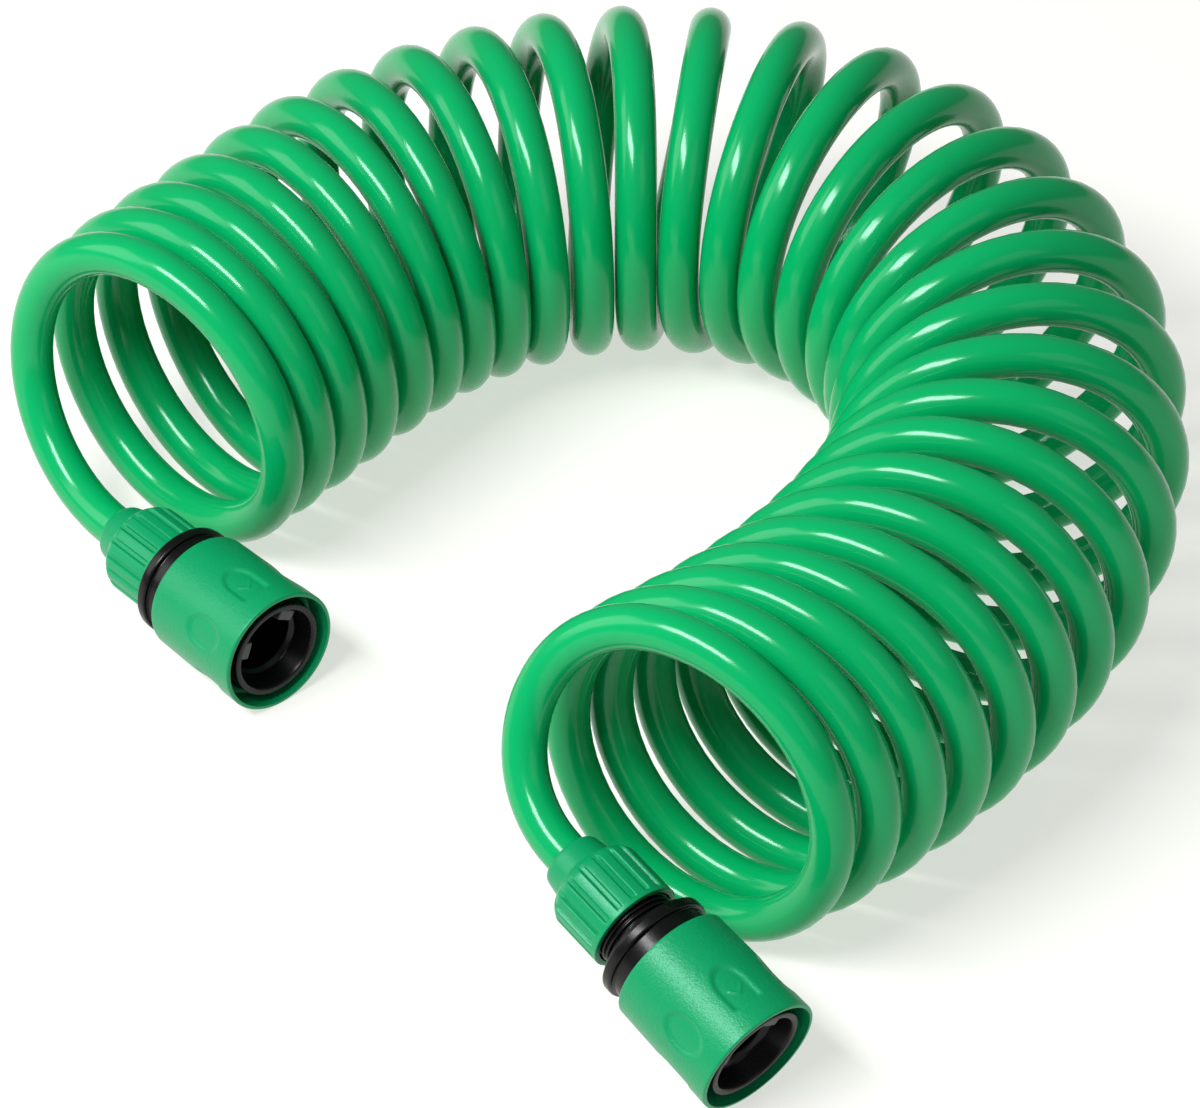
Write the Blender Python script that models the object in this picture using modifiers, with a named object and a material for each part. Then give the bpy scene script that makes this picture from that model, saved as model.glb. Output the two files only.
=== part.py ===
"""Self-coiling garden hose with a push-fit click socket on each end.

The coil lies on the ground in a wide C that opens to the left front, and both
sockets lie in front of its ends, pointing forward and to the right.

Units are metres, +Z is up, and the ground is the plane z = 0. Seen from the
front, +X is to the right and +Y points away. The origin is on the ground in
the middle of the whole hose.

A place along the coil is a number of turns: turn 1 is where the hose first
passes over the top of the coil at the left end, turn 29 where it last does.
"""
import math

import bmesh
import bpy
from mathutils import Matrix, Vector

MM = 0.001

# Hose
HOSE_RADIUS = 5.75 * MM
COIL_RADIUS = 42.5 * MM
FIRST_TURN = 1.0
LAST_TURN = 29.0

# The coil's middle line on the ground: where it starts, its heading, and the
# length in metres and the turn in degrees of each arc
AXIS_START = (-0.1164, 0.0445)
AXIS_HEADING = math.radians(50.5)
AXIS_ARCS = (
    (0.0697, 1.3),
    (0.0872, -41.1),
    (0.0803, -54.3),
    (0.0779, -39.8),
    (0.0937, -35.5),
    (0.0784, -20.7),
)

# The distance from one turn to the next, at some of the turns
PITCHES = ((1, 14.0), (5, 17.2), (9, 16.4), (12, 20.5), (15, 21.9), (19, 23.5), (23, 17.5), (29, 13.2))

# How far each ring is swung about the vertical, and how far it leans back, in degrees
SWINGS = ((1, -0.5), (3, -6.7), (5, -15.5), (7, -12.7), (9, -9.3), (12, -3.0),
          (15, 3.9), (17, 10.2), (20, 10.6), (22, 6.9), (26, 13.4), (29, 21.8))
LEANS = ((1, 1.1), (3, 3.7), (5, 5.3), (7, 5.0), (9, 0.1), (12, -3.1),
         (15, -5.3), (17, -6.4), (20, -3.4), (22, -0.7), (26, -0.5), (29, 4.0))

# Solid of the coil
COIL_SIDES = 26
GROOVE_DEPTH = 5.2 * MM
CREST_HALF_WIDTH = 0.18
SURFACE_GAP = 0.3 * MM

# Click socket, measured back from the plane of the sleeve's mouth
SLEEVE_MOUTH_RADIUS = 17.3 * MM
SLEEVE_REAR_RADIUS = 16.5 * MM
SLEEVE_LENGTH = 33.3 * MM
SLEEVE_MOUTH_WALL = 1.2 * MM
SLEEVE_GUIDE_RADIUS = 14.6 * MM
SLEEVE_STEP = 8.0 * MM
SLEEVE_TRAVEL = 3.0 * MM
EDGE_ROUND = 0.8 * MM

RIM_RECESS = 1.0 * MM
RIM_RADIUS = 13.5 * MM
RIM_LENGTH = 3.5 * MM
MOUTH_HOLE_RADIUS = 11.8 * MM
MOUTH_CHAMFER = 6.0 * MM
SOCKET_RADIUS = 8.9 * MM
SOCKET_DEPTH = 27.0 * MM
BARREL_RADIUS = SLEEVE_GUIDE_RADIUS - 0.4 * MM
FLANGE_CLEARANCE = 1.5 * MM
FLANGE_FRONT = SLEEVE_LENGTH + SLEEVE_TRAVEL + FLANGE_CLEARANCE
FLANGE_THICKNESS = 3.8 * MM
FLANGE_RADIUS = 15.4 * MM
THREAD_RADIUS = 10.8 * MM
THREAD_LENGTH = 15.0 * MM
WATERWAY_RADIUS = 3.6 * MM
FLANGE_REAR = FLANGE_FRONT + FLANGE_THICKNESS
BODY_REAR = FLANGE_REAR + THREAD_LENGTH

NUT_RADIUS = 12.75 * MM
NUT_RIBBED_LENGTH = 15.4 * MM
NUT_LENGTH = 25.2 * MM
NUT_GRIP_GROOVES = 18
NUT_GROOVE_WIDTH = 1.5 * MM
NUT_GROOVE_DEPTH = 0.8 * MM
NUT_GROOVE_RUNOUT = 4.0 * MM
NUT_FRONT_BAND = 1.2 * MM
NUT_CAVITY_TAPER = 3.0 * MM
NUT_CAVITY_RADIUS = THREAD_RADIUS + 0.35 * MM
NUT_HOLE_RADIUS = HOSE_RADIUS + 0.3 * MM
NUT_NECK_RADIUS = 8.9 * MM
NUT_COLLAR_RADIUS = 7.8 * MM

JAW_WIDTH = 5.0 * MM
JAW_LENGTH = 4.6 * MM
JAW_THICKNESS = 2.6 * MM
JAW_INNER_RADIUS = 8.4 * MM
JAW_MIDDLE = 5.6 * MM
JAW_ANGLES = (math.radians(60), math.radians(160))
JAW_CLEARANCE = 0.3 * MM

DIMPLE_LENGTH = 14.0 * MM
DIMPLE_WIDTH = 9.5 * MM
DIMPLE_DEPTH = 0.6 * MM
DIMPLE_MIDDLE = 12.3 * MM
DIMPLE_COUNT = 6
DIMPLE_FIRST_ANGLE = math.radians(36)

TURNED_STEPS = 36
BODY_STEPS = 28

# Where each socket lies: the middle of its mouth, its heading, how far it
# points down, and how far its nut is screwed back off the flange
LEFT_MOUTH = (-0.0817, -0.0267)
LEFT_HEADING = math.radians(-48.9)
LEFT_DIP = math.radians(0.0)
LEFT_NUT_BACK = 0.3 * MM
RIGHT_MOUTH = (0.0397, -0.1805)
RIGHT_HEADING = math.radians(-49.0)
RIGHT_DIP = math.radians(14.5)
RIGHT_NUT_BACK = 4.8 * MM

# Where the hose leaves the coil for each socket
LEFT_JOIN_TURN = 1.0
LEFT_REACHES = (1.80, 1.58)
LEFT_CURL = 18.5
RIGHT_JOIN_TURN = 29.015
RIGHT_REACHES = (1.42, 1.50)
RIGHT_CURL = 28.0
TAIL_STRAIGHT = 2.2 * MM
TAIL_POINTS = 14

GREEN_HOSE = (0.010, 0.380, 0.085, 1.0)
GREEN_MOULDED = (0.012, 0.330, 0.100, 1.0)
BLACK_MOULDED = (0.012, 0.012, 0.013, 1.0)
GREY_JAW = (0.060, 0.065, 0.070, 1.0)


def clear_scene():
    for item in list(bpy.data.objects):
        bpy.data.objects.remove(item, do_unlink=True)


def new_collection(name):
    collection = bpy.data.collections.new(name)
    bpy.context.scene.collection.children.link(collection)
    return collection


def material(name, colour, roughness):
    made = bpy.data.materials.new(name)
    made.use_nodes = True
    shader = made.node_tree.nodes["Principled BSDF"]
    shader.inputs["Base Color"].default_value = colour
    shader.inputs["Roughness"].default_value = roughness
    shader.inputs["Metallic"].default_value = 0.0
    return made


def between(pairs, turn):
    """The value at a turn, on straight lines between the pairs of turn and value."""
    if turn <= pairs[0][0]:
        return pairs[0][1]
    for (turn_a, value_a), (turn_b, value_b) in zip(pairs, pairs[1:]):
        if turn <= turn_b:
            return value_a + (value_b - value_a) * (turn - turn_a) / (turn_b - turn_a)
    return pairs[-1][1]


def station(turn):
    """Distance along the coil's middle line, in metres, of a turn."""
    whole = min(max(math.floor(turn), int(FIRST_TURN)), int(LAST_TURN) - 1)
    distance = sum(between(PITCHES, k + 0.5) for k in range(int(FIRST_TURN), whole))
    return (distance + (turn - whole) * between(PITCHES, whole + 0.5)) * MM


def axis_at(distance):
    """The point and the heading of the coil's middle line at a distance along it."""
    x, y = AXIS_START
    heading = AXIS_HEADING
    last = len(AXIS_ARCS) - 1
    for number, (length, degrees) in enumerate(AXIS_ARCS):
        here = distance if number == last else min(distance, length)
        bend = math.radians(degrees) / length
        turned = heading + bend * here
        x += (math.sin(turned) - math.sin(heading)) / bend
        y -= (math.cos(turned) - math.cos(heading)) / bend
        heading = turned
        distance -= here
        if distance <= 0.0:
            break
    return x, y, heading


def ring_frame(turn):
    """Centre of the coil's ring at a turn, and the ring's sideways and upward directions."""
    x, y, heading = axis_at(station(turn))
    swung = heading + math.radians(between(SWINGS, turn))
    lean = math.radians(between(LEANS, turn))
    side = Vector((math.sin(swung), -math.cos(swung), 0.0))
    tall = Vector((-math.sin(lean) * math.cos(swung), -math.sin(lean) * math.sin(swung), math.cos(lean)))
    centre = Vector((x, y, COIL_RADIUS * math.cos(lean) + HOSE_RADIUS))
    return centre, side, tall


def ring_point(turn, angle, radius):
    """Point at an angle from the top, towards the inside of the C, on the ring at a turn."""
    centre, side, tall = ring_frame(turn)
    return centre + radius * (math.sin(angle) * side + math.cos(angle) * tall)


def hose_point(turn):
    """Point on the middle of the hose itself, which goes once round in each turn."""
    return ring_point(turn, math.tau * turn, COIL_RADIUS)


def link_mesh(name, mesh, collection, look=None):
    item = bpy.data.objects.new(name, mesh)
    collection.objects.link(item)
    if look is not None:
        mesh.materials.append(look)
    return item


def mesh_of(name, build):
    """Mesh made by a function that fills a bmesh."""
    form = bmesh.new()
    build(form)
    mesh = bpy.data.meshes.new(name)
    form.to_mesh(mesh)
    form.free()
    return mesh


def smooth(mesh, degrees=35):
    mesh.shade_smooth()
    mesh.set_sharp_from_angle(angle=math.radians(degrees))


def coil_sections():
    """Turn and radius of each round section of the coil's wall: along its outside, then back inside."""
    crest = COIL_RADIUS + HOSE_RADIUS
    start_reach = HOSE_RADIUS / (between(PITCHES, FIRST_TURN + 0.5) * MM)
    end_reach = HOSE_RADIUS / (between(PITCHES, LAST_TURN - 0.5) * MM)
    sections = [(FIRST_TURN - start_reach, COIL_RADIUS + 0.45 * HOSE_RADIUS)]
    for turn in range(int(FIRST_TURN), int(LAST_TURN) + 1):
        sections.append((turn - CREST_HALF_WIDTH, crest))
        sections.append((turn + CREST_HALF_WIDTH, crest))
        if turn < LAST_TURN:
            sections.append((turn + 0.5, crest - GROOVE_DEPTH))
    sections.append((LAST_TURN + end_reach, COIL_RADIUS + 0.45 * HOSE_RADIUS))
    bore = COIL_RADIUS - HOSE_RADIUS
    sections.append((LAST_TURN + end_reach, COIL_RADIUS - 0.45 * HOSE_RADIUS))
    sections.append((LAST_TURN + CREST_HALF_WIDTH, bore))
    for turn in range(int(LAST_TURN) - 1, int(FIRST_TURN), -1):
        sections.append((turn, bore))
    sections.append((FIRST_TURN - CREST_HALF_WIDTH, bore))
    sections.append((FIRST_TURN - start_reach, COIL_RADIUS - 0.45 * HOSE_RADIUS))
    return sections


def build_coil_wall(form):
    """Round sections joined one to the next, and the last to the first."""
    rings = []
    for turn, radius in coil_sections():
        points = [ring_point(turn, -math.tau * step / COIL_SIDES, radius) for step in range(COIL_SIDES)]
        rings.append([form.verts.new(point) for point in points])
    for ring, following in zip(rings, rings[1:] + rings[:1]):
        for step in range(COIL_SIDES):
            beside = (step + 1) % COIL_SIDES
            form.faces.new((ring[step], following[step], following[beside], ring[beside]))
    bmesh.ops.recalc_face_normals(form, faces=form.faces)


def add_coil(parts, look):
    mesh = mesh_of("hose_coil", build_coil_wall)
    smooth(mesh, 60)
    return link_mesh("hose_coil", mesh, parts, look)


def end_direction(heading, dip):
    level = math.cos(dip)
    return Vector((level * math.cos(heading), level * math.sin(heading), -math.sin(dip)))


def add_end_frame(name, mouth, heading, dip, parts):
    """Empty at the middle of the mouth, its +Z out of the mouth and its +X level."""
    frame = bpy.data.objects.new(name, None)
    direction = end_direction(heading, dip)
    lift = SLEEVE_MOUTH_RADIUS * math.cos(dip)
    frame.rotation_mode = "QUATERNION"
    frame.rotation_quaternion = direction.to_track_quat("Z", "Y")
    frame.location = (mouth[0], mouth[1], lift)
    parts.objects.link(frame)
    return frame


def frame_matrix(frame):
    return Matrix.Translation(frame.location) @ frame.rotation_quaternion.to_matrix().to_4x4()


def turned(name, outline, collection, look, frame, back=0.0, steps=TURNED_STEPS):
    """Closed outline of radius and height pairs, outer side first and downward, turned about Z."""
    mesh = bpy.data.meshes.new(name)
    points = [(radius, 0.0, height) for radius, height in outline]
    edges = [(number, (number + 1) % len(points)) for number in range(len(points))]
    mesh.from_pydata(points, edges, [])
    item = link_mesh(name, mesh, collection, look)
    item.parent = frame
    item.location = (0.0, 0.0, -back)
    screw = item.modifiers.new("Turn", "SCREW")
    screw.axis = "Z"
    screw.angle = math.tau
    screw.steps = steps
    screw.render_steps = steps
    screw.use_smooth_shade = True
    screw.use_merge_vertices = True
    screw.merge_threshold = 0.00001
    return item


def cut_with(item, cutter):
    cut = item.modifiers.new(cutter.name, "BOOLEAN")
    cut.operation = "DIFFERENCE"
    cut.solver = "EXACT"
    cut.object = cutter


def hide_cutter(cutter):
    cutter.hide_render = True
    cutter.display_type = "WIRE"


def sleeve_outline():
    mouth_bore = SLEEVE_MOUTH_RADIUS - SLEEVE_MOUTH_WALL
    return [
        (SLEEVE_MOUTH_RADIUS - 0.5 * EDGE_ROUND, 0.0),
        (SLEEVE_MOUTH_RADIUS, -EDGE_ROUND),
        (SLEEVE_REAR_RADIUS, -SLEEVE_LENGTH + EDGE_ROUND),
        (SLEEVE_REAR_RADIUS - EDGE_ROUND, -SLEEVE_LENGTH),
        (SLEEVE_GUIDE_RADIUS, -SLEEVE_LENGTH),
        (SLEEVE_GUIDE_RADIUS, -SLEEVE_STEP),
        (mouth_bore, -SLEEVE_STEP + 1.0 * MM),
        (mouth_bore, 0.0),
    ]


def body_outline():
    flange_round = 0.5 * EDGE_ROUND
    return [
        (RIM_RADIUS - 0.4 * MM, -RIM_RECESS),
        (RIM_RADIUS, -RIM_RECESS - 0.5 * MM),
        (RIM_RADIUS, -RIM_RECESS - RIM_LENGTH),
        (BARREL_RADIUS, -RIM_RECESS - RIM_LENGTH - EDGE_ROUND),
        (BARREL_RADIUS, -FLANGE_FRONT),
        (FLANGE_RADIUS - flange_round, -FLANGE_FRONT),
        (FLANGE_RADIUS, -FLANGE_FRONT - flange_round),
        (FLANGE_RADIUS, -FLANGE_REAR + flange_round),
        (FLANGE_RADIUS - flange_round, -FLANGE_REAR),
        (THREAD_RADIUS, -FLANGE_REAR),
        (THREAD_RADIUS, -BODY_REAR + 1.0 * MM),
        (THREAD_RADIUS - 1.0 * MM, -BODY_REAR),
        (WATERWAY_RADIUS, -BODY_REAR),
        (WATERWAY_RADIUS, -SOCKET_DEPTH),
        (SOCKET_RADIUS, -SOCKET_DEPTH),
        (SOCKET_RADIUS, -RIM_RECESS - MOUTH_CHAMFER),
        (MOUTH_HOLE_RADIUS, -RIM_RECESS),
    ]


def nut_outline():
    shoulder = NUT_RIBBED_LENGTH + 2.2 * MM
    neck = shoulder + 1.0 * MM
    cavity_end = NUT_RIBBED_LENGTH - 0.2 * MM
    return [
        (NUT_RADIUS - 0.6 * MM, 0.0),
        (NUT_RADIUS, -0.7 * MM),
        (NUT_RADIUS, -NUT_RIBBED_LENGTH),
        (NUT_RADIUS - 1.4 * MM, -shoulder),
        (NUT_NECK_RADIUS, -neck),
        (NUT_COLLAR_RADIUS, -NUT_LENGTH + EDGE_ROUND),
        (NUT_COLLAR_RADIUS - 0.5 * EDGE_ROUND, -NUT_LENGTH),
        (NUT_HOLE_RADIUS, -NUT_LENGTH),
        (NUT_HOLE_RADIUS, -cavity_end - NUT_CAVITY_TAPER),
        (NUT_CAVITY_RADIUS, -cavity_end),
        (NUT_CAVITY_RADIUS, 0.0),
    ]


def box_at(form, size, placement):
    made = bmesh.ops.create_cube(form, size=1.0)
    stretch = Matrix.Diagonal((size[0], size[1], size[2], 1.0))
    bmesh.ops.transform(form, matrix=placement @ stretch, verts=made["verts"])


def around(angle, radius, height):
    """Place on a piece turned about Z, with +X pointing away from its axis."""
    return Matrix.Rotation(angle, 4, "Z") @ Matrix.Translation((radius, 0.0, height))


def build_grip_cutters(form):
    length = NUT_RIBBED_LENGTH + NUT_GROOVE_RUNOUT
    radial = 3.0 * MM
    radius = NUT_RADIUS - NUT_GROOVE_DEPTH + 0.5 * radial
    height = -0.5 * length - NUT_FRONT_BAND
    for number in range(NUT_GRIP_GROOVES):
        angle = math.tau * (number + 0.5) / NUT_GRIP_GROOVES
        box_at(form, (radial, NUT_GROOVE_WIDTH, length), around(angle, radius, height))


def build_dimple_cutters(form):
    """Flattened balls that just dip into the sleeve's outside."""
    share = DIMPLE_MIDDLE / SLEEVE_LENGTH
    surface = SLEEVE_MOUTH_RADIUS + (SLEEVE_REAR_RADIUS - SLEEVE_MOUTH_RADIUS) * share
    ball = 3.0 * MM
    share_cut = math.sqrt(1.0 - ((ball - DIMPLE_DEPTH) / ball) ** 2)
    for number in range(DIMPLE_COUNT):
        angle = DIMPLE_FIRST_ANGLE + math.tau * number / DIMPLE_COUNT
        made = bmesh.ops.create_uvsphere(form, u_segments=12, v_segments=10, radius=1.0)
        width = 0.5 * DIMPLE_WIDTH / share_cut
        length = 0.5 * DIMPLE_LENGTH / share_cut
        upright = Matrix.Rotation(math.radians(90), 4, "Y")
        stretch = Matrix.Diagonal((ball, width, length, 1.0))
        place = around(angle, surface - DIMPLE_DEPTH + ball, -DIMPLE_MIDDLE)
        bmesh.ops.transform(form, matrix=place @ stretch @ upright, verts=made["verts"])


def build_jaw_cutters(form):
    radial = JAW_THICKNESS + 2.0 * JAW_CLEARANCE
    size = (radial + 1.0 * MM, JAW_WIDTH + 2.0 * JAW_CLEARANCE, JAW_LENGTH + 2.0 * JAW_CLEARANCE)
    radius = JAW_INNER_RADIUS + JAW_THICKNESS + JAW_CLEARANCE - 0.5 * size[0]
    for angle in JAW_ANGLES:
        box_at(form, size, around(angle, radius, -JAW_MIDDLE))


def add_cutter(name, build, cutters, frame, back=0.0):
    cutter = link_mesh(name, mesh_of(name, build), cutters)
    cutter.parent = frame
    cutter.location = (0.0, 0.0, -back)
    hide_cutter(cutter)
    return cutter


def add_jaw(name, angle, parts, look, frame):
    place = around(angle, JAW_INNER_RADIUS + 0.5 * JAW_THICKNESS, -JAW_MIDDLE)

    def build(form):
        box_at(form, (JAW_THICKNESS, JAW_WIDTH, JAW_LENGTH), Matrix.Identity(4))

    jaw = link_mesh(name, mesh_of(name, build), parts, look)
    jaw.parent = frame
    jaw.matrix_local = place
    bevel = jaw.modifiers.new("Round edges", "BEVEL")
    bevel.width = 0.6 * MM
    bevel.segments = 1
    return jaw


def add_socket(side, frame, nut_back, parts, cutters, looks):
    """Sleeve, body, two jaws and nut of one end."""
    sleeve = turned(side + "_sleeve", sleeve_outline(), parts, looks["moulded"], frame)
    cut_with(sleeve, add_cutter(side + "_dimple_cutter", build_dimple_cutters, cutters, frame))
    body = turned(side + "_body", body_outline(), parts, looks["black"], frame, steps=BODY_STEPS)
    cut_with(body, add_cutter(side + "_jaw_cutter", build_jaw_cutters, cutters, frame))
    for letter, angle in zip("ab", JAW_ANGLES):
        add_jaw(side + "_jaw_" + letter, angle, parts, looks["jaw"], frame)
    back = FLANGE_REAR + nut_back
    nut = turned(side + "_nut", nut_outline(), parts, looks["moulded"], frame, back)
    cut_with(nut, add_cutter(side + "_grip_cutter", build_grip_cutters, cutters, frame, back))


def bend_point(start, stop, share):
    """Point on the curve between two ends, each a place, a speed and a bend."""
    t, t2, t3, t4, t5 = (share ** power for power in range(1, 6))
    point = start[0] * (1 - 10 * t3 + 15 * t4 - 6 * t5)
    point += start[1] * (t - 6 * t3 + 8 * t4 - 3 * t5)
    point += start[2] * (0.5 * t2 - 1.5 * t3 + 1.5 * t4 - 0.5 * t5)
    point += stop[2] * (0.5 * t3 - t4 + 0.5 * t5)
    point += stop[1] * (-4 * t3 + 7 * t4 - 3 * t5)
    return point + stop[0] * (10 * t3 - 15 * t4 + 6 * t5)


def tail_points(frame, nut_back, join_turn, step, reaches, curl):
    """Middle of the hose from the back of the socket's body to where it runs into the coil.

    The reaches say how fast the hose leaves the socket and how fast it meets the coil, as
    shares of the way between them, and the curl is its bend, per metre, at the socket.
    """
    place = frame_matrix(frame)
    back = (place.to_3x3() @ Vector((0.0, 0.0, -1.0))).normalized()
    seat = place @ Vector((0.0, 0.0, -BODY_REAR - SURFACE_GAP))
    collar = place @ Vector((0.0, 0.0, -FLANGE_REAR - nut_back - NUT_LENGTH - TAIL_STRAIGHT))
    join = hose_point(join_turn)
    before, after = hose_point(join_turn - step), hose_point(join_turn + step)
    pace = 0.5 * (after - before).length
    leave, meet = (share * (join - collar).length for share in reaches)
    aside = join - collar
    aside = (aside - back * aside.dot(back)).normalized()
    start = (collar, back * leave, aside * curl * leave ** 2)
    bend = (after - 2 * join + before) * (meet / pace) ** 2
    stop = (join, (after - before).normalized() * meet, bend)
    points = [seat]
    points += [bend_point(start, stop, number / TAIL_POINTS) for number in range(TAIL_POINTS + 1)]
    points += [hose_point(join_turn + step * number * 4) for number in range(1, 6)]
    return points


def add_tail(name, points, parts, cutters, look, end_turn, outward):
    """Tube along the points, cut off flat just clear of the end of the coil."""
    data = bpy.data.curves.new(name, "CURVE")
    data.dimensions = "3D"
    data.bevel_depth = HOSE_RADIUS
    data.bevel_resolution = 3
    data.use_fill_caps = True
    spline = data.splines.new("POLY")
    spline.points.add(len(points) - 1)
    for place, point in zip(spline.points, points):
        place.co = (point.x, point.y, point.z, 1.0)
    wire = bpy.data.objects.new(name + "_line", data)
    parts.objects.link(wire)
    bpy.context.view_layer.update()
    seen = wire.evaluated_get(bpy.context.evaluated_depsgraph_get())
    mesh = bpy.data.meshes.new_from_object(seen)
    form = bmesh.new()
    form.from_mesh(mesh)
    bmesh.ops.remove_doubles(form, verts=form.verts, dist=0.00001)
    bmesh.ops.recalc_face_normals(form, faces=form.faces)
    form.to_mesh(mesh)
    form.free()
    smooth(mesh)
    tail = link_mesh(name, mesh, parts, look)
    tail.matrix_world = wire.matrix_world
    bpy.data.objects.remove(wire, do_unlink=True)
    cut_with(tail, add_end_cutter(name + "_cutter", end_turn, outward, cutters))
    return tail


def add_end_cutter(name, end_turn, outward, cutters):
    """Block that fills the coil's side of the plane just outside its end."""
    centre, side, tall = ring_frame(end_turn)
    normal = side.cross(tall).normalized()
    if normal.dot(Vector(outward)) < 0.0:
        normal = -normal
    depth = 0.060
    width = 0.200
    basis = Matrix((side, tall, side.cross(tall))).transposed().to_4x4()
    middle = centre + normal * (SURFACE_GAP - 0.5 * depth)

    def build(form):
        box_at(form, (width, width, depth), Matrix.Translation(middle) @ basis)

    cutter = link_mesh(name, mesh_of(name, build), cutters)
    hide_cutter(cutter)
    return cutter


def main():
    clear_scene()
    parts = new_collection("coil_hose")
    cutters = new_collection("coil_hose_cutters")
    looks = {
        "hose": material("hose_green", GREEN_HOSE, 0.25),
        "moulded": material("moulded_green", GREEN_MOULDED, 0.42),
        "black": material("moulded_black", BLACK_MOULDED, 0.40),
        "jaw": material("jaw_grey", GREY_JAW, 0.45),
    }
    add_coil(parts, looks["hose"])
    left = add_end_frame("left_end", LEFT_MOUTH, LEFT_HEADING, LEFT_DIP, parts)
    right = add_end_frame("right_end", RIGHT_MOUTH, RIGHT_HEADING, RIGHT_DIP, parts)
    add_socket("left", left, LEFT_NUT_BACK, parts, cutters, looks)
    add_socket("right", right, RIGHT_NUT_BACK, parts, cutters, looks)
    sections = coil_sections()
    first_turn = sections[0][0]
    last_turn = max(turn for turn, radius in sections)
    left_points = tail_points(left, LEFT_NUT_BACK, LEFT_JOIN_TURN, 0.01, LEFT_REACHES, LEFT_CURL)
    right_points = tail_points(right, RIGHT_NUT_BACK, RIGHT_JOIN_TURN, -0.01, RIGHT_REACHES, RIGHT_CURL)
    left_out = (-math.cos(AXIS_HEADING), -math.sin(AXIS_HEADING), 0.0)
    end_heading = axis_at(station(LAST_TURN))[2]
    right_out = (math.cos(end_heading), math.sin(end_heading), 0.0)
    add_tail("hose_tail_left", left_points, parts, cutters, looks["hose"], first_turn, left_out)
    add_tail("hose_tail_right", right_points, parts, cutters, looks["hose"], last_turn, right_out)


main()
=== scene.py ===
"""Dresses the coil garden hose: one continuous hose, two click sockets, a pale studio."""
import math

import bmesh
import bpy
from bpy.props import FloatProperty, FloatVectorProperty, IntProperty, PointerProperty
from mathutils import Matrix, Vector


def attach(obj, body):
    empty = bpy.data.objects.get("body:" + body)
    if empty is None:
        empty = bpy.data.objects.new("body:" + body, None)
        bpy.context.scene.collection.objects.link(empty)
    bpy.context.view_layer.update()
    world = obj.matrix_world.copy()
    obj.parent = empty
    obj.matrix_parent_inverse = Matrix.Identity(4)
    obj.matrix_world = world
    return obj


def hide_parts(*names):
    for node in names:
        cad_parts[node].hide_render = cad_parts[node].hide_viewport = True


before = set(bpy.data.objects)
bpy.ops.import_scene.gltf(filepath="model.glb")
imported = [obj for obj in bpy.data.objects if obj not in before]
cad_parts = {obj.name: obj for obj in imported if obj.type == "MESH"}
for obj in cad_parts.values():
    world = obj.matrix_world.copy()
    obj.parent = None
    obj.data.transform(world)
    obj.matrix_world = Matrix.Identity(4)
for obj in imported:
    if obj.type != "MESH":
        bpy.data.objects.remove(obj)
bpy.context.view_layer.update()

bl_info = {
    "name": "Coil garden hose",
    "version": (1, 0, 0),
    "blender": (4, 5, 0),
    "location": "View3D > Sidebar > Coil Hose",
    "description": "Builds a self-coiling garden hose with a click socket on each end",
    "category": "Add Mesh",
}

MM = 0.001

# The coil, in metres and degrees, as its solids are laid out. The arcs, pitches, swings and leans
# are rounded results of a least-squares fit to places on the photograph, and follow no stated rule.
AXIS_START = (-0.1164, 0.0445)
AXIS_HEADING = math.radians(50.5)
AXIS_ARCS = (
    (0.0697, 1.3),
    (0.0872, -41.1),
    (0.0803, -54.3),
    (0.0779, -39.8),
    (0.0937, -35.5),
    (0.0784, -20.7),
)
PITCHES = ((1, 14.0), (5, 17.2), (9, 16.4), (12, 20.5), (15, 21.9), (19, 23.5), (23, 17.5), (29, 13.2))
SWINGS = ((1, -0.5), (3, -6.7), (5, -15.5), (7, -12.7), (9, -9.3), (12, -3.0),
          (15, 3.9), (17, 10.2), (20, 10.6), (22, 6.9), (26, 13.4), (29, 21.8))
LEANS = ((1, 1.1), (3, 3.7), (5, 5.3), (7, 5.0), (9, 0.1), (12, -3.1),
         (15, -5.3), (17, -6.4), (20, -3.4), (22, -0.7), (26, -0.5), (29, 4.0))
FIRST_TURN = 1
LAST_TURN = 29
COIL_RADIUS = 42.5 * MM
HOSE_RADIUS = 5.75 * MM

# The sockets, measured back from the plane of the sleeve's mouth
SLEEVE_MOUTH_RADIUS = 17.3 * MM
SLEEVE_REAR_RADIUS = 16.5 * MM
SLEEVE_LENGTH = 33.3 * MM
SLEEVE_MOUTH_WALL = 1.2 * MM
SLEEVE_GUIDE_RADIUS = 14.6 * MM
SLEEVE_STEP = 8.0 * MM
RIM_RECESS = 1.0 * MM
RIM_RADIUS = 13.5 * MM
RIM_LENGTH = 3.5 * MM
MOUTH_HOLE_RADIUS = 11.8 * MM
MOUTH_CHAMFER = 6.0 * MM
SOCKET_RADIUS = 8.9 * MM
SOCKET_DEPTH = 27.0 * MM
BARREL_RADIUS = 14.2 * MM
FLANGE_FRONT = 37.8 * MM
FLANGE_REAR = 41.6 * MM
FLANGE_RADIUS = 15.4 * MM
THREAD_RADIUS = 10.8 * MM
BODY_REAR = 56.6 * MM
WATERWAY_RADIUS = 3.6 * MM
NUT_RADIUS = 12.75 * MM
NUT_RIBBED_LENGTH = 15.4 * MM
NUT_LENGTH = 25.2 * MM
NUT_FRONT_BAND = 1.2 * MM
NUT_CAVITY_RADIUS = 11.15 * MM
NUT_HOLE_RADIUS = 6.05 * MM
NUT_NECK_RADIUS = 8.9 * MM
NUT_COLLAR_RADIUS = 7.8 * MM
JAW_SIZE = (2.6 * MM, 5.0 * MM, 4.6 * MM)
JAW_INNER_RADIUS = 8.4 * MM
JAW_MIDDLE = 5.6 * MM
JAW_ANGLES = (math.radians(60), math.radians(160))

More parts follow.
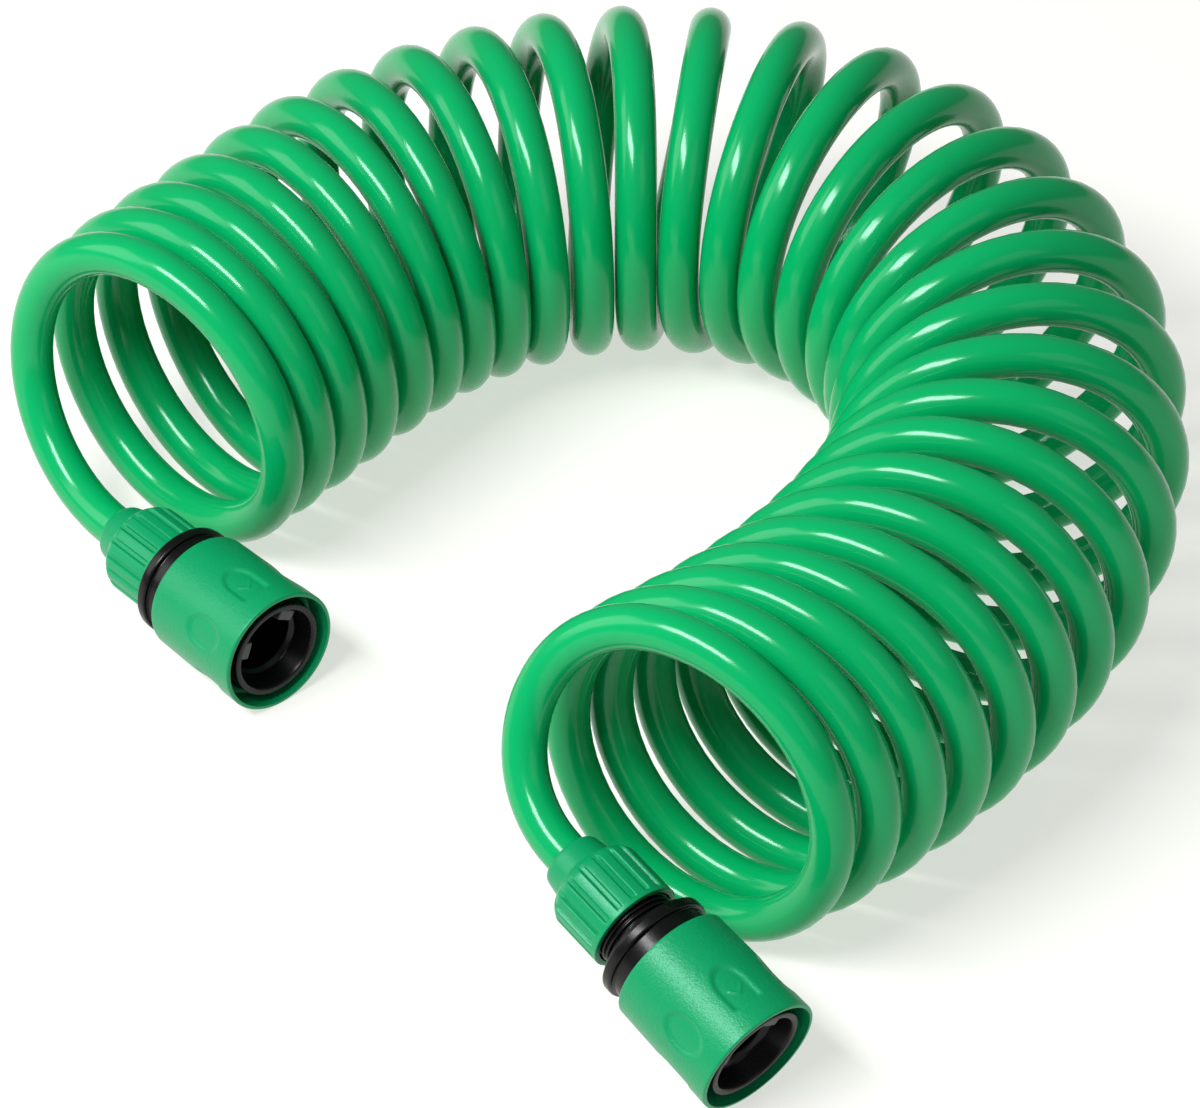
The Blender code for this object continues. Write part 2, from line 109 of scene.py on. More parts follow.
# Each end: the middle of its mouth, heading, dip, how far its nut is screwed back, the turn
# where its hose meets the coil, how fast the hose leaves and meets, and its bend at the nut
ENDS = {
    "left": {"mouth": (-0.0817, -0.0267), "heading": -48.9, "dip": 0.0, "nut_back": 0.3 * MM,
             "join": 1.0, "reaches": (1.80, 1.58), "curl": 18.5},
    "right": {"mouth": (0.0397, -0.1805), "heading": -49.0, "dip": 14.5, "nut_back": 4.8 * MM,
              "join": 29.015, "reaches": (1.42, 1.50), "curl": 28.0},
}
SURFACE_GAP = 0.3 * MM
TAIL_STRAIGHT = 2.2 * MM
TAIL_POINTS = 32
SEAT_POINTS = 6
JOIN_STEP = 0.01

# The studio: the camera's place to the side, the floor, and each light's place, target, size
# and the setting that holds its power
CAMERA_SIDE = 0.0016
FLOOR_SIZE = 6.0
PAPER_DARK = (0.395, 0.39, 0.38, 1.0)
PAPER_LIGHT = (0.405, 0.40, 0.39, 1.0)
PAPER_GLOW = (1.0, 1.0, 0.955, 1.0)
LIGHTS = (
    ("key_light", (-0.70, -0.60, 1.25), (0.0, 0.0, 0.0), (0.90, 0.36), "key_power"),
    ("side_light", (-1.40, 0.05, 0.80), (-0.05, 0.0, 0.0), (0.9, 0.9), "side_power"),
    ("fill_light", (0.9, -0.9, 0.9), (0.0, 0.0, 0.03), (0.8, 0.8), "fill_power"),
)


# Coil geometry

def between(pairs, turn):
    """The value at a turn, on straight lines between the pairs of turn and value."""
    if turn <= pairs[0][0]:
        return pairs[0][1]
    for (turn_a, value_a), (turn_b, value_b) in zip(pairs, pairs[1:]):
        if turn <= turn_b:
            return value_a + (value_b - value_a) * (turn - turn_a) / (turn_b - turn_a)
    return pairs[-1][1]


def station(turn):
    """Distance along the coil's middle line, in metres, of a turn."""
    whole = min(max(math.floor(turn), FIRST_TURN), LAST_TURN - 1)
    distance = sum(between(PITCHES, k + 0.5) for k in range(FIRST_TURN, whole))
    return (distance + (turn - whole) * between(PITCHES, whole + 0.5)) * MM


def axis_at(distance):
    """The point and the heading of the coil's middle line at a distance along it."""
    x, y = AXIS_START
    heading = AXIS_HEADING
    last = len(AXIS_ARCS) - 1
    for number, (length, degrees) in enumerate(AXIS_ARCS):
        here = distance if number == last else min(distance, length)
        bend = math.radians(degrees) / length
        turned = heading + bend * here
        x += (math.sin(turned) - math.sin(heading)) / bend
        y -= (math.cos(turned) - math.cos(heading)) / bend
        heading = turned
        distance -= here
        if distance <= 0.0:
            break
    return x, y, heading


def hose_point(turn):
    """Point on the middle of the hose, which goes once round in each turn."""
    x, y, heading = axis_at(station(turn))
    swung = heading + math.radians(between(SWINGS, turn))
    lean = math.radians(between(LEANS, turn))
    side = Vector((math.sin(swung), -math.cos(swung), 0.0))
    tall = Vector((-math.sin(lean) * math.cos(swung), -math.sin(lean) * math.sin(swung), math.cos(lean)))
    centre = Vector((x, y, COIL_RADIUS * math.cos(lean) + HOSE_RADIUS))
    angle = math.tau * turn
    return centre + COIL_RADIUS * (math.sin(angle) * side + math.cos(angle) * tall)


def end_matrix(side):
    """Place of an end: the middle of its mouth, +Z out of the mouth and +X level."""
    end = ENDS[side]
    heading, dip = math.radians(end["heading"]), math.radians(end["dip"])
    level = math.cos(dip)
    direction = Vector((level * math.cos(heading), level * math.sin(heading), -math.sin(dip)))
    lift = SLEEVE_MOUTH_RADIUS * level
    turn = direction.to_track_quat("Z", "Y").to_matrix().to_4x4()
    return Matrix.Translation((end["mouth"][0], end["mouth"][1], lift)) @ turn


def bend_point(start, stop, share):
    """Point on the curve between two ends, each a place, a speed and a bend."""
    t, t2, t3, t4, t5 = (share ** power for power in range(1, 6))
    point = start[0] * (1 - 10 * t3 + 15 * t4 - 6 * t5)
    point += start[1] * (t - 6 * t3 + 8 * t4 - 3 * t5)
    point += start[2] * (0.5 * t2 - 1.5 * t3 + 1.5 * t4 - 0.5 * t5)
    point += stop[2] * (0.5 * t3 - t4 + 0.5 * t5)
    point += stop[1] * (-4 * t3 + 7 * t4 - 3 * t5)
    return point + stop[0] * (10 * t3 - 15 * t4 + 6 * t5)


def tail_points(side, step):
    """Middle of the hose from the back of the socket's body to where it joins the coil."""
    end = ENDS[side]
    place = end_matrix(side)
    back = (place.to_3x3() @ Vector((0.0, 0.0, -1.0))).normalized()
    seat = place @ Vector((0.0, 0.0, -BODY_REAR - SURFACE_GAP))
    collar = place @ Vector((0.0, 0.0, -FLANGE_REAR - end["nut_back"] - NUT_LENGTH - TAIL_STRAIGHT))
    join = hose_point(end["join"])
    before, after = hose_point(end["join"] - step), hose_point(end["join"] + step)
    pace = 0.5 * (after - before).length
    leave, meet = (share * (join - collar).length for share in end["reaches"])
    aside = join - collar
    aside = (aside - back * aside.dot(back)).normalized()
    start = (collar, back * leave, aside * end["curl"] * leave ** 2)
    bend = (after - 2 * join + before) * (meet / pace) ** 2
    stop = (join, (after - before).normalized() * meet, bend)
    points = [seat.lerp(collar, number / SEAT_POINTS) for number in range(SEAT_POINTS)]
    points += [bend_point(start, stop, number / TAIL_POINTS) for number in range(TAIL_POINTS)]
    return points


def hose_route(points_per_turn):
    """Middle of the whole hose, from the left socket to the right one."""
    first, last = ENDS["left"]["join"], ENDS["right"]["join"]
    steps = round((last - first) * points_per_turn)
    coil = [hose_point(first + (last - first) * number / steps) for number in range(steps + 1)]
    return tail_points("left", JOIN_STEP) + coil + tail_points("right", -JOIN_STEP)[::-1]


# Meshes

def new_object(name, mesh):
    item = bpy.data.objects.new(name, mesh)
    bpy.context.scene.collection.objects.link(item)
    return item


def filleted(outline, steps=4):
    """Closed outline of radius, height and corner rounding, with each rounded corner drawn as a curve."""
    points = []
    count = len(outline)
    for number, (radius, height, rounding) in enumerate(outline):
        here = Vector((radius, height))
        if rounding <= 0.0:
            points.append(here)
            continue
        before = Vector(outline[number - 1][:2]) - here
        after = Vector(outline[(number + 1) % count][:2]) - here
        start = here + before.normalized() * min(rounding, 0.5 * before.length)
        stop = here + after.normalized() * min(rounding, 0.5 * after.length)
        for step in range(steps + 1):
            share = step / steps
            points.append(start * (1 - share) ** 2 + here * 2 * share * (1 - share) + stop * share ** 2)
    return points


def turned_mesh(name, outline, angles, place, shape=None, closed=True):
    """Closed outline turned about Z; shape may move a point by its radius, angle and height."""
    form = bmesh.new()
    rings = []
    for angle in angles:
        ring = []
        for point in outline:
            radius = shape(point[0], angle, point[1]) if shape else point[0]
            ring.append(form.verts.new((radius * math.cos(angle), radius * math.sin(angle), point[1])))
        rings.append(ring)
    for ring, following in zip(rings, rings[1:] + (rings[:1] if closed else [])):
        for number in range(len(ring)):
            beside = (number + 1) % len(ring)
            form.faces.new((ring[number], ring[beside], following[beside], following[number]))
    return finished_mesh(name, form, place, closed=closed)


def full_turn(steps):
    return [math.tau * step / steps for step in range(steps)]


def finished_mesh(name, form, place, sharp=32.0, closed=True):
    """Mesh of a bmesh put in its place, its faces outward and its soft edges smooth."""
    bmesh.ops.remove_doubles(form, verts=form.verts, dist=0.000002)
    if closed:
        bmesh.ops.recalc_face_normals(form, faces=form.faces)
    form.transform(place)
    mesh = bpy.data.meshes.new(name)
    form.to_mesh(mesh)
    form.free()
    mesh.shade_smooth()
    mesh.set_sharp_from_angle(angle=math.radians(sharp))
    return mesh


def smoothstep(value):
    value = min(max(value, 0.0), 1.0)
    return value * value * (3.0 - 2.0 * value)


# Node trees

class Recipe:
    """Geometry node tree with named inputs."""

    def __init__(self, name):
        self.tree = bpy.data.node_groups.new(name, "GeometryNodeTree")
        self.tree.interface.new_socket("Geometry", in_out="INPUT", socket_type="NodeSocketGeometry")
        self.tree.interface.new_socket("Geometry", in_out="OUTPUT", socket_type="NodeSocketGeometry")
        self.start = self.tree.nodes.new("NodeGroupInput")
        self.stop = self.tree.nodes.new("NodeGroupOutput")

    def entry(self, name, kind, default):
        socket = self.tree.interface.new_socket(name, in_out="INPUT", socket_type="NodeSocket" + kind)
        socket.default_value = default
        return self.start.outputs[name]

    def node(self, kind, settings=None, inputs=None):
        made = self.tree.nodes.new("GeometryNode" + kind if not kind.startswith("Shader") else kind)
        for key, value in (settings or {}).items():
            setattr(made, key, value)
        for key, value in (inputs or {}).items():
            if isinstance(value, bpy.types.NodeSocket):
                self.tree.links.new(value, made.inputs[key])
            else:
                made.inputs[key].default_value = value
        return made

    def end(self, geometry, look):
        real = self.node("RealizeInstances", None, {"Geometry": geometry})
        painted = self.node("SetMaterial", None, {"Geometry": real.outputs[0], "Material": look})
        self.tree.links.new(painted.outputs[0], self.stop.inputs[0])

    def apply(self, item, values=None):
        """Runs the tree on an object and keeps the result as its plain mesh."""
        modifier = item.modifiers.new(self.tree.name, "NODES")
        modifier.node_group = self.tree
        for socket in self.tree.interface.items_tree:
            if socket.in_out == "INPUT" and socket.name in (values or {}):
                modifier[socket.identifier] = values[socket.name]
        bpy.context.view_layer.update()
        seen = item.evaluated_get(bpy.context.evaluated_depsgraph_get())
        mesh = bpy.data.meshes.new_from_object(seen)
        name = item.name
        bpy.data.objects.remove(item, do_unlink=True)
        return new_object(name, mesh)


class Value:
    """Socket of a material's tree that can be used in sums."""

    def __init__(self, finish, socket):
        self.finish = finish
        self.socket = socket

    def _math(self, operation, *others):
        inputs = {number: other for number, other in enumerate(others)}
        return self.finish.node("Math", {"operation": operation}, inputs)

    def __add__(self, other):
        return self._math("ADD", self, other)

    __radd__ = __add__

    def __sub__(self, other):
        return self._math("SUBTRACT", self, other)

    def __rsub__(self, other):
        return self._math("SUBTRACT", other, self)

    def __mul__(self, other):
        return self._math("MULTIPLY", self, other)

    __rmul__ = __mul__

    def __truediv__(self, other):
        return self._math("DIVIDE", self, other)

    def __pow__(self, other):
        return self._math("POWER", self, other)

    def __rtruediv__(self, other):
        return self._math("DIVIDE", other, self)

    def __rpow__(self, other):
        return self._math("POWER", other, self)

    def __neg__(self):
        return self._math("MULTIPLY", self, -1.0)


class Finish:
    """Material built of nodes round one Principled shader."""

    def __init__(self, name, constants):
        self.material = bpy.data.materials.new(name)
        self.material.use_nodes = True
        self.tree = self.material.node_tree
        self.shader = self.tree.nodes["Principled BSDF"]
        for key, value in constants.items():
            self.shader.inputs[key].default_value = value
        self.place = self.node("TexCoord", None, None, "Object")

    def node(self, kind, settings=None, inputs=None, output=0):
        made = self.tree.nodes.new("ShaderNode" + kind)
        for key, value in (settings or {}).items():
            if key == "stops":
                self.set_stops(made.color_ramp, value)
            else:
                setattr(made, key, value)
        for key, value in (inputs or {}).items():
            self.feed(made.inputs[key], value)
        return Value(self, made.outputs[output])

    def set_stops(self, ramp, stops):
        for number, (position, colour) in enumerate(stops):
            element = ramp.elements[number] if number < 2 else ramp.elements.new(position)
            element.position = position
            element.color = colour

    def feed(self, socket, value):
        if isinstance(value, Value):
            self.tree.links.new(value.socket, socket)
        else:
            socket.default_value = value

    def noise(self, scale, detail=2.0, roughness=0.5):
        inputs = {"Vector": self.place, "Scale": scale, "Detail": detail, "Roughness": roughness}
        return self.node("TexNoise", None, inputs)

    def mix(self, share, first, second):
        settings = {"data_type": "RGBA", "blend_type": "MIX"}
        return self.node("Mix", settings, {0: share, 6: first, 7: second}, 2)

    def bump(self, height, strength, distance, normal=None):
        inputs = {"Height": height, "Strength": strength, "Distance": distance}
        if normal is not None:
            inputs["Normal"] = normal
        return self.node("Bump", None, inputs)

    def set(self, **values):
        for key, value in values.items():
            self.feed(self.shader.inputs[key.replace("_", " ")], value)
        return self.material


def shade(colour, factor):
    return (colour[0] * factor, colour[1] * factor, colour[2] * factor, 1.0)


def hose_finish(colour):
    """Smooth extruded plastic: a satin gloss, with the faintest handling marks."""
    finish = Finish("hose_green", {"Specular IOR Level": 0.33, "Specular Tint": (0.74, 1.0, 0.93, 1.0)})
    cloud = finish.noise(18.0, 3.0)
    scuff = finish.noise(420.0, 4.0, 0.65)
    wave = finish.noise(60.0, 2.0)
    base = finish.mix(cloud, shade(colour, 0.90), shade(colour, 1.08))
    roughness = 0.13 + 0.04 * cloud + 0.03 * scuff
    normal = finish.bump(wave, 0.25, 0.00025)
    normal = finish.bump(scuff, 0.05, 0.00003, normal)
    return finish.set(Base_Color=base, Roughness=roughness, Normal=normal)


def moulded_finish(name, colour, grain=0.70):
    """Moulded plastic with a fine spark-eroded grain."""
    finish = Finish(name, {"Specular IOR Level": 0.36, "Specular Tint": (0.60, 1.0, 0.90, 1.0)})
    cloud = finish.noise(30.0, 3.0)
    fine = finish.noise(2400.0, 2.0, 0.6)
    coarse = finish.noise(1050.0, 3.0, 0.6)
    base = finish.mix(cloud, shade(colour, 0.92), shade(colour, 1.07))
    roughness = 0.27 + 0.12 * coarse + 0.04 * cloud
    normal = finish.bump(coarse, grain, 0.00016)
    normal = finish.bump(fine, grain, 0.00007, normal)
    return finish.set(Base_Color=base, Roughness=roughness, Normal=normal)


def black_finish(colour):
    """Black moulded plastic with a faint sheen and dusty edges."""
    finish = Finish("moulded_black", {"Specular IOR Level": 0.22})
    cloud = finish.noise(70.0, 4.0)
    grain = finish.noise(1200.0, 2.0)
    base = finish.mix(cloud, shade(colour, 0.8), shade(colour, 1.6))
    roughness = 0.20 + 0.12 * cloud + 0.06 * grain
    return finish.set(Base_Color=base, Roughness=roughness, Normal=finish.bump(grain, 0.30, 0.00006))


def jaw_finish(colour):
    """Dark grey moulded plastic of the locking jaws."""
    finish = Finish("jaw_grey", {"Specular IOR Level": 0.5})
    cloud = finish.noise(220.0, 3.0)
    base = finish.mix(cloud, shade(colour, 0.85), shade(colour, 1.2))
    return finish.set(Base_Color=base, Roughness=0.40 + 0.10 * cloud)


# Settings

class HoseSettings(bpy.types.PropertyGroup):
    points_per_turn: IntProperty(name="Points per turn", description="Points on each turn of the hose",
                                 default=56, min=12)
    sides: IntProperty(name="Sides", description="Sides of the hose's section", default=28, min=8)
    colour: FloatVectorProperty(name="Hose colour", description="Colour of the hose", subtype="COLOR",
                                default=(0.001, 0.315, 0.094), min=0.0, max=1.0)


class SocketSettings(bpy.types.PropertyGroup):
    steps: IntProperty(name="Steps", description="Facets round a turned piece", default=120, min=24)
    green: FloatVectorProperty(name="Moulded green", description="Colour of the sleeves and nuts",
                               subtype="COLOR", default=(0.002, 0.245, 0.088), min=0.0, max=1.0)
    black: FloatVectorProperty(name="Moulded black", description="Colour of the socket bodies", subtype="COLOR",
                               default=(0.0024, 0.0024, 0.0027), min=0.0, max=1.0)
    jaw: FloatVectorProperty(name="Jaw grey", description="Colour of the locking jaws", subtype="COLOR",
                             default=(0.028, 0.031, 0.034), min=0.0, max=1.0)
    lands: IntProperty(name="Nut ribs", description="Grip ribs round each nut", default=18, min=3)
    groove: FloatProperty(name="Nut groove", description="Depth of the grooves between the nut's ribs",
                          default=0.95 * MM, unit="LENGTH")
    dimple_depth: FloatProperty(name="Dimple depth", description="Depth of the sleeve's finger dimples",
                                default=0.7 * MM, unit="LENGTH")
    thread_pitch: FloatProperty(name="Thread pitch", description="Pitch of the body's thread",
                                default=1.5 * MM, unit="LENGTH")


class StudioSettings(bpy.types.PropertyGroup):
    lens: FloatProperty(name="Lens", description="Focal length of the camera, in millimetres", default=183.5)
    height: FloatProperty(name="Camera height", description="Height of the camera over the ground",
                          default=1.0204, unit="LENGTH")
    distance: FloatProperty(name="Camera distance", description="Level distance from the camera to the origin",
                            default=1.2603, unit="LENGTH")
    tilt: FloatProperty(name="Camera tilt", description="How far the camera looks down, in degrees",
                        default=38.2)
    key_power: FloatProperty(name="Key light", description="Power of the large soft light", default=30.0)
    side_power: FloatProperty(name="Side light", description="Power of the broad light on the left",
                              default=8.0)
    fill_power: FloatProperty(name="Fill light", description="Power of the fill light", default=1.4)
    floor_glow: FloatProperty(name="Floor glow", description="Light that the lit paper floor gives",
                              default=0.62)
    sky: FloatProperty(name="Surround", description="Brightness of the white surround", default=0.20)


# Operators

class COILHOSE_OT_stage(bpy.types.Operator):
    """Pale floor, soft studio light and the camera"""
    bl_idname = "coilhose.stage"
    bl_label = "Stage"

    def execute(self, context):
        studio = context.scene.studio_settings
        self.make_floor(studio)
        self.make_camera(context.scene, studio)
        self.make_world(context.scene, studio)
        for name, place, target, size, power in LIGHTS:
            self.make_light(name, place, target, size, getattr(studio, power))
        return {"FINISHED"}

    def make_floor(self, studio):
        form = bmesh.new()
        bmesh.ops.create_grid(form, x_segments=1, y_segments=1, size=FLOOR_SIZE)
        mesh = bpy.data.meshes.new("studio_floor")
        form.to_mesh(mesh)
        form.free()
        finish = Finish("studio_floor", {"Specular IOR Level": 0.2, "Emission Strength": studio.floor_glow,
                                         "Emission Color": PAPER_GLOW})
        paper = finish.noise(3.0, 2.0)
        base = finish.mix(paper, PAPER_DARK, PAPER_LIGHT)
        mesh.materials.append(finish.set(Base_Color=base, Roughness=0.85))
        new_object("studio_floor", mesh)

    def make_camera(self, scene, studio):
        data = bpy.data.cameras.new("camera")
        data.sensor_width = 36.0
        data.lens = studio.lens
        data.clip_end = 20.0
        camera = new_object("camera", data)
        camera.location = (CAMERA_SIDE, -studio.distance, studio.height)
        camera.rotation_euler = (math.radians(90.0 - studio.tilt), 0.0, 0.0)
        scene.camera = camera

    def make_world(self, scene, studio):
        world = bpy.data.worlds.new("studio")
        world.use_nodes = True
        scene.view_settings.view_transform = "Standard"
        background = world.node_tree.nodes["Background"]
        background.inputs["Color"].default_value = (1.0, 1.0, 1.0, 1.0)
        background.inputs["Strength"].default_value = studio.sky
        scene.world = world

    def make_light(self, name, place, target, size, power):
        data = bpy.data.lights.new(name, "AREA")
        data.shape = "RECTANGLE"
        data.size, data.size_y = size
        data.energy = power
        light = new_object(name, data)
        light.location = place
        direction = Vector(target) - Vector(place)
        light.rotation_euler = direction.to_track_quat("-Z", "Y").to_euler()


class COILHOSE_OT_hose(bpy.types.Operator):
    """The whole hose as one tube swept along its helix"""
    bl_idname = "coilhose.hose"
    bl_label = "Hose"

    def execute(self, context):
        settings = context.scene.hose_settings
        route = hose_route(settings.points_per_turn)
        look = hose_finish(tuple(settings.colour))
        tube = self.swept(route, settings.sides, look)
        length = sum((b - a).length for a, b in zip(route, route[1:]))
        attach(tube, "hose")
        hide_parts("hose_coil", "hose_tail_left", "hose_tail_right")
        return {"FINISHED"}

    def swept(self, route, sides, look):
        data = bpy.data.curves.new("hose_line", "CURVE")
        data.dimensions = "3D"
        spline = data.splines.new("POLY")
        spline.points.add(len(route) - 1)
        for point, place in zip(spline.points, route):
            point.co = (*place, 1.0)
        recipe = Recipe("hose_sweep")
        radius = recipe.entry("Radius", "Float", HOSE_RADIUS)
        count = recipe.entry("Sides", "Int", sides)
        section = recipe.node("CurvePrimitiveCircle", {"mode": "RADIUS"},
                              {"Resolution": count, "Radius": radius})
        tube = recipe.node("CurveToMesh", None, {"Curve": recipe.start.outputs["Geometry"],
                                                 "Profile Curve": section.outputs[0], "Fill Caps": True})
        soft = recipe.node("SetShadeSmooth", None, {"Geometry": tube.outputs[0]})
        recipe.end(soft.outputs[0], look)
        return recipe.apply(new_object("hose", data), {"Radius": HOSE_RADIUS, "Sides": sides})


class COILHOSE_OT_sleeves(bpy.types.Operator):
    """The two green release sleeves with their finger dimples"""
    bl_idname = "coilhose.sleeves"
    bl_label = "Sleeves"

    LENGTH_STEPS = 84
    ROUND_STEPS = 264
    DIMPLE_MIDDLE = 12.3 * MM
    DIMPLE_HALF = (7.0 * MM, 4.75 * MM)
    DIMPLE_COUNT = 6
    DIMPLE_START = math.radians(36)
    CHEVRON_HALF = 2.2 * MM
    CHEVRON_TIP = 2.6 * MM
    CHEVRON_HEIGHT = 0.25 * MM
    CHEVRON_LINE = 0.25 * MM
    DIMPLE_FLAT = 0.72
    DIMPLE_SLOPE = 0.28
    ARROW_FRONT = 5.6 * MM
    ARROW_EDGE = 0.5 * MM
    PLAIN_FRONT = 2.0 * MM

    def execute(self, context):
        settings = context.scene.socket_settings
        look = moulded_finish("moulded_green", tuple(settings.green))
        for side in ENDS:
            place = end_matrix(side)
            self.depth = settings.dimple_depth
            angles = full_turn(self.ROUND_STEPS)
            mesh = turned_mesh(side + "_sleeve_skin", self.outline(), angles, place, self.surface)
            mesh.materials.append(look)
            sleeve = new_object(side + "_sleeve_skin", mesh)
            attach(sleeve, side + "_sleeve")
            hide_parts(side + "_sleeve")
        return {"FINISHED"}

    def outline(self):
        mouth_bore = SLEEVE_MOUTH_RADIUS - SLEEVE_MOUTH_WALL
        heights = [-SLEEVE_LENGTH * n / self.LENGTH_STEPS for n in range(3, self.LENGTH_STEPS - 2)]
        outer = [(self.outer_radius(height), height) for height in heights]
        front = filleted([(mouth_bore, 0.0, 0.25 * MM), (SLEEVE_MOUTH_RADIUS, 0.0, 0.75 * MM),
                          (outer[0][0], outer[0][1], 0.0)])[:-1]
        rear = filleted([(outer[-1][0], outer[-1][1], 0.0), (SLEEVE_REAR_RADIUS, -SLEEVE_LENGTH, 0.9 * MM),
                         (SLEEVE_GUIDE_RADIUS, -SLEEVE_LENGTH, 0.2 * MM),
                         (SLEEVE_GUIDE_RADIUS, -SLEEVE_STEP, 0.0),
                         (mouth_bore, -SLEEVE_STEP + 1.0 * MM, 0.3 * MM)])[1:]
        return [tuple(point) for point in front] + outer + [tuple(point) for point in rear]

    def outer_radius(self, height):
        share = -height / SLEEVE_LENGTH
        return SLEEVE_MOUTH_RADIUS + (SLEEVE_REAR_RADIUS - SLEEVE_MOUTH_RADIUS) * share

    def surface(self, radius, angle, height):
        """Radius of the sleeve at a place: its plain radius, less the dimples of the outer side."""
        if radius < SLEEVE_REAR_RADIUS - 0.1 * MM or height > -self.PLAIN_FRONT:
            return radius
        turn = (angle - self.DIMPLE_START) / math.tau * self.DIMPLE_COUNT
        number = round(turn)
        across = (turn - number) / self.DIMPLE_COUNT * math.tau * radius
        along = height + self.DIMPLE_MIDDLE
        if number % 2:
            return radius - self.depth * self.arrow_dimple(across, along) + self.chevron(across, along)
        return radius - self.depth * self.oval_dimple(across, along)

    def oval_dimple(self, across, along):
        reach = math.hypot(across / self.DIMPLE_HALF[1], along / self.DIMPLE_HALF[0])
        return 1.0 - smoothstep((reach - self.DIMPLE_FLAT) / self.DIMPLE_SLOPE)

    def arrow_dimple(self, across, along):
        """Round towards the rear, straight across at the front."""
        if along > 0.0:
            edge = smoothstep((along - self.ARROW_FRONT) / self.ARROW_EDGE)
            return self.oval_dimple(across, 0.0) * (1.0 - edge)
        return self.oval_dimple(across, along)

    def chevron(self, across, along):
        """Height of the plain raised chevron that points at the mouth."""
        if abs(across) > self.CHEVRON_HALF:
            return 0.0
        off = abs(along - self.CHEVRON_TIP + abs(across))
        return self.CHEVRON_HEIGHT * (1.0 - smoothstep((off - self.CHEVRON_LINE) / self.CHEVRON_LINE))


